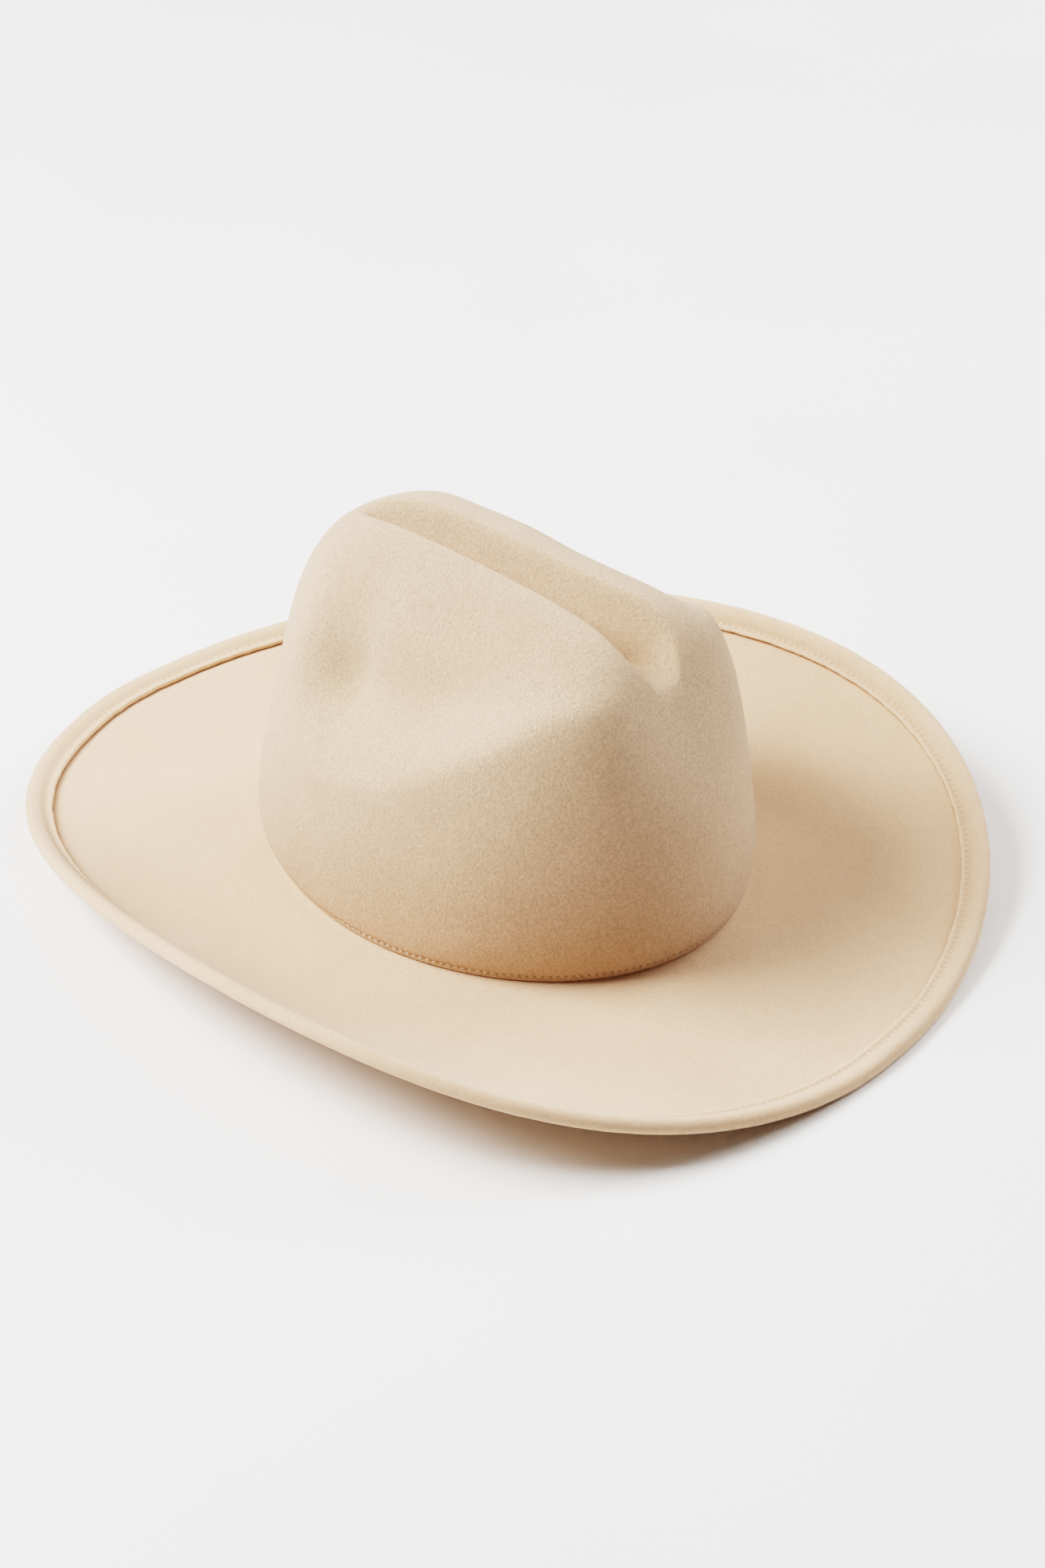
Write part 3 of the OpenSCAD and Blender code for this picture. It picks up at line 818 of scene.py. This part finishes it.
def patch(name, node, centre, width, thick, material, columns=18, levels=12):
    """A small sheet lying on the sweatband's inside; its hem is a little thicker than its middle."""
    low, high = cad_place(node)[:, 2]
    half = width / 2 / head_half_length
    middle, hem_from, hem_over = 0.72, 0.80, 0.12   # share of the thickness, and where the hem begins
    front, back = [], []
    for q in np.linspace(centre - half, centre + half, columns):
        across = abs(q - centre) / half
        for z in np.linspace(low, high, levels):
            rim = max(across, abs((z - low) / (high - low) * 2 - 1))
            here = thick * mix(middle, 1, smooth((rim - hem_from) / hem_over))
            off = band_off(z) - sweatband_t - gap
            back.append(head_point(np.array(q), off, z))
            front.append(head_point(np.array(q), off - here, z))
    n = len(front)

    def at(i, j):
        return i * levels + j

    faces = []
    for i in range(columns - 1):
        for j in range(levels - 1):
            faces.append([at(i, j), at(i, j + 1), at(i + 1, j + 1), at(i + 1, j)])
            faces.append([n + at(i, j), n + at(i + 1, j), n + at(i + 1, j + 1), n + at(i, j + 1)])
    rim = [at(0, j) for j in range(levels)]
    rim += [at(i, levels - 1) for i in range(1, columns)]
    rim += [at(columns - 1, j) for j in range(levels - 2, -1, -1)]
    rim += [at(i, 0) for i in range(columns - 2, 0, -1)]
    for a, b in zip(rim, rim[1:] + rim[:1]):
        faces.append([n + a, n + b, b, a])
    return new_mesh(name, front + back, faces, material)


on_body(sweat_ribbon(), "sweatband", "sweatband")
on_body(tape_ring(), "tape", "reed_tape")
on_body(patch("back_tape", "seam_tape", math.pi, 11, 0.4, tape_ribbon), "tape", "seam_tape")

# each blank label: its CAD node, how far round from the front it sits, its width and its look
for name, node, degrees, wide, look in (("size_tag", "size_label", 150, 14, white_label),
                                        ("care_tag", "care_label", 122, 22, ivory_label)):
    tag = on_body(patch(name, node, math.radians(degrees), wide, 0.3, look), "label", node)

# ---- bow ----------------------------------------------------------------------------------------


def ribbon_strip(points, width, thick, knot):
    """Sections of a narrow ribbon that stands on edge along points and narrows into the knot."""
    q = np.array(points)
    s = distances(q)
    fine = np.linspace(0, s[-1], 26)
    q = np.stack([np.interp(fine, s, q[:, 0]), np.interp(fine, s, q[:, 1])], 1)
    for _ in range(6):
        q[1:-1] = (q[:-2] + 2 * q[1:-1] + q[2:]) / 4
    d = np.gradient(q, axis=0)
    out = unit(np.stack([-d[:, 1], d[:, 0]], 1)) * thick / 2
    half = width / 2 * np.minimum(1, 0.45 + fine / 3.5)
    across = (-1, -0.5, 0, 0.5, 1)
    rings = []
    for i in range(len(q)):
        ring = [[q[i, 0] + out[i, 0], v * half[i], q[i, 1] + out[i, 1]] for v in across]
        ring += [[q[i, 0] - out[i, 0], v * half[i], q[i, 1] - out[i, 1]] for v in across[::-1]]
        rings.append(ring)
    return np.array(rings) + knot


# one side's loop and tail, as distances to the side and up from the knot
loop_line = [[0.9, 0.1], [6, 2.5], [11, 3.1], [13.2, 1.2], [12.2, -1.6], [7, -1.8], [0.9, -0.7]]
tail_line = [[0.8, -1.2], [4.6, -6], [8, -10.3]]
bow_width, bow_t = 1.8, 0.45
knot_radius, knot_half = 1.9, 1.05
bow_below_top = 9                       # how far the knot sits below the sweatband's top


def bow():
    """The sweatband's bow: two loops and two tails, and a round knot over their ends."""
    knot = np.array([0, cad_place("bow")[:, 1].sum() / 2, band_bottom + sweatband_height - bow_below_top])
    parts = []
    for side in (-1, 1):
        for run in (loop_line, tail_line):
            path = [[side * a, b] for a, b in run]
            parts.append(swept_run("bow_part", ribbon_strip(path, bow_width, bow_t, knot), bow_ribbon))
    a = turn_angles(18)
    rings = []
    for v in np.linspace(-1, 1, 9):
        r = knot_radius * (1 - 0.35 * v * v)
        rings.append(np.stack([r * np.cos(a), 0 * a + v * knot_half, r * 0.9 * np.sin(a)], 1) + knot)
    parts.append(swept_run("bow_part", np.array(rings), bow_ribbon))
    return joined("ribbon_bow", parts)


on_body(bow(), "ribbon", "bow")

# ---- pieces that keep their CAD shape -----------------------------------------------------------

for node, material in (("brim_wire", steel), ("wire_joiner", plated), ("reed", clear_reed)):
    thing = bpy.data.objects[node]
    if not thing.material_slots:
        thing.data.materials.append(material)
    for slot in thing.material_slots:
        slot.material = material

# ---- camera -------------------------------------------------------------------------------------

# The camera looks down at the hat from its back left.
camera_place = (1.11294, 0.87389, 0.99387)
forward = Vector((-0.65869, -0.50475, -0.55800)).normalized()
right = forward.cross(Vector((0, 0, 1))).normalized()
above = right.cross(forward)
ahead = Vector((forward.x, forward.y, 0)).normalized()

camera_data = bpy.data.cameras.new("camera")
camera_data.sensor_fit = "HORIZONTAL"
camera_data.sensor_width = 36
camera_data.lens = 141.918
camera_data.clip_start, camera_data.clip_end = 0.05, 30
camera = in_scene("camera", camera_data)
turned = Matrix((right, above, -forward)).transposed().to_4x4()
camera.matrix_world = Matrix.Translation(camera_place) @ turned
scene.camera = camera

# ---- floor --------------------------------------------------------------------------------------

floor_half = 6.0
corners = [(x * floor_half, y * floor_half, 0) for x, y in ((-1, -1), (1, -1), (1, 1), (-1, 1))]
floor_mesh = bpy.data.meshes.new("floor")
floor_mesh.from_pydata(corners, [], [(0, 1, 2, 3)])
floor = in_scene("floor", floor_mesh)
floor_look = Nodes("floor_look")
floor_patches = floor_look.spread(floor_look.noise(3, 2), 0.3, 0.7)
floor_colour = floor_look.blend(floor_patches, colour(0.965, 0.957, 0.943), colour(0.885, 0.875, 0.86))
floor_mesh.materials.append(floor_look.set(Base_Color=floor_colour, Roughness=0.9, Specular_IOR_Level=0.2))

# ---- light --------------------------------------------------------------------------------------


def area_light(name, side, depth, height, size, power, aim_z=0.06):
    """A square soft light, side metres to the camera's right of the hat and depth metres behind it."""
    data = bpy.data.lights.new(name, "AREA")
    data.shape, data.size, data.energy = "SQUARE", size, power
    lamp = in_scene(name, data)
    lamp.location = right * side + ahead * depth + Vector((0, 0, height))
    lamp.rotation_euler = (Vector((0, 0, aim_z)) - lamp.location).to_track_quat("-Z", "Y").to_euler()


area_light("key", side=-1.44, depth=-0.06, height=1.60, size=1.15, power=81)
area_light("overhead", side=0, depth=0.15, height=2.1, size=2.2, power=13.5, aim_z=0)
area_light("back_fill", side=1.55, depth=0.95, height=1.05, size=1.3, power=34)
area_light("side_fill", side=-2.1, depth=0, height=0.5, size=1.0, power=2)
area_light("low_fill", side=-0.5, depth=-2.0, height=0.22, size=1.0, power=1, aim_z=0)

world = bpy.data.worlds.new("world")
scene.world = world
world.use_nodes = True
background = world.node_tree.nodes["Background"]
background.inputs["Color"].default_value = colour(1.0, 0.93, 0.88)
background.inputs["Strength"].default_value = 0.05
scene.view_settings.view_transform = "Filmic"
scene.view_settings.look = "Very High Contrast"
